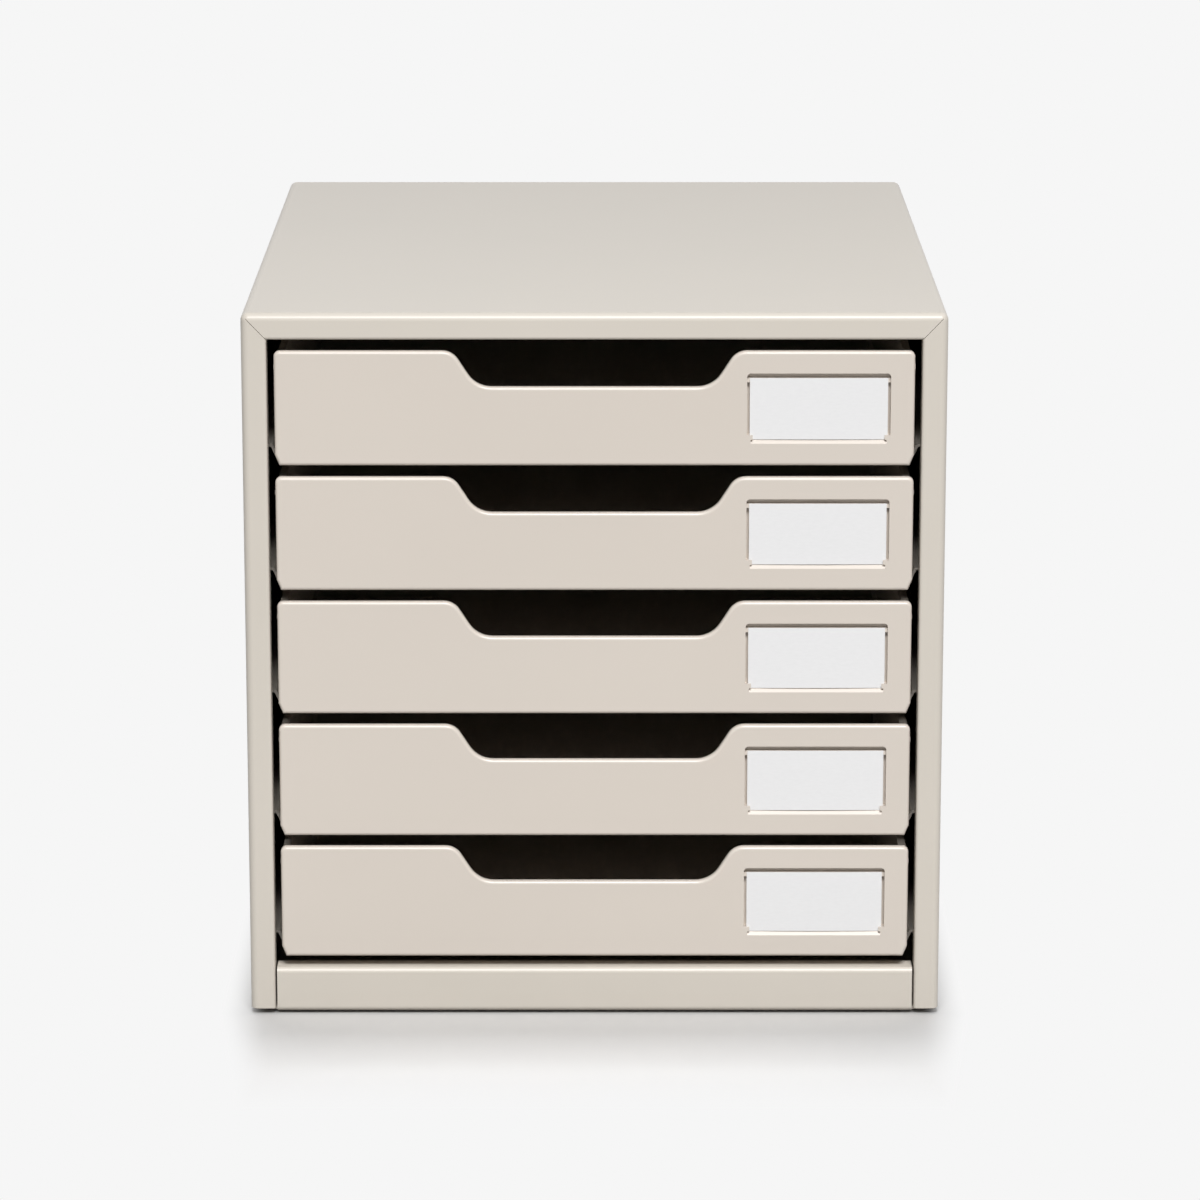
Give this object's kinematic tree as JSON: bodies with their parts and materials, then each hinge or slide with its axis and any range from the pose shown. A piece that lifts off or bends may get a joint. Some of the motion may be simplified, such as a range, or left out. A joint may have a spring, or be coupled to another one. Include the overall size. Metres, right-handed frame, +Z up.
{
  "type": "document drawer cabinet",
  "caption": "Desktop cabinet of folded steel with wide flat trays for A4 sheets, each with a finger cut-out and a label card, that slide out on side ledges.",
  "frame": {"origin": "centre of the cabinet's footprint, at the underside of the feet", "axes": "+Z up, the trays open towards -Y, +X to the right seen from the front"},
  "size_m": [0.277, 0.341, 0.2864],
  "materials": {
    "case_paint": "satin powder coat",
    "tray_plastic": "fine moulded satin",
    "label_paper": "matte",
    "foot_rubber": "matte"
  },
  "bodies": {
    "cabinet": {"case_wrap": "case_paint", "base_pan": "case_paint", "back_panel": "case_paint", "foot_front_left": "foot_rubber", "foot_front_right": "foot_rubber", "foot_back_left": "foot_rubber", "foot_back_right": "foot_rubber", "runner_left_1": "case_paint", "runner_right_1": "case_paint", "runner_left_2": "case_paint", "runner_right_2": "case_paint", "runner_left_3": "case_paint", "runner_right_3": "case_paint", "runner_left_4": "case_paint", "runner_right_4": "case_paint", "runner_left_5": "case_paint", "runner_right_5": "case_paint"},
    "drawer_1": {"tray_1": "tray_plastic", "label_card_1": "label_paper"},
    "drawer_2": {"tray_2": "tray_plastic", "label_card_2": "label_paper"},
    "drawer_3": {"tray_3": "tray_plastic", "label_card_3": "label_paper"},
    "drawer_4": {"tray_4": "tray_plastic", "label_card_4": "label_paper"},
    "drawer_5": {"tray_5": "tray_plastic", "label_card_5": "label_paper"}
  },
  "joints": [
    {"name": "drawer_1_slide", "type": "slide", "parent": "cabinet", "child": "drawer_1", "axis": [0, -1, 0], "range_m": [0, 0.24]},
    {"name": "drawer_2_slide", "type": "slide", "parent": "cabinet", "child": "drawer_2", "axis": [0, -1, 0], "range_m": [0, 0.24]},
    {"name": "drawer_3_slide", "type": "slide", "parent": "cabinet", "child": "drawer_3", "axis": [0, -1, 0], "range_m": [0, 0.24]},
    {"name": "drawer_4_slide", "type": "slide", "parent": "cabinet", "child": "drawer_4", "axis": [0, -1, 0], "range_m": [0, 0.24]},
    {"name": "drawer_5_slide", "type": "slide", "parent": "cabinet", "child": "drawer_5", "axis": [0, -1, 0], "range_m": [0, 0.24]}
  ]
}
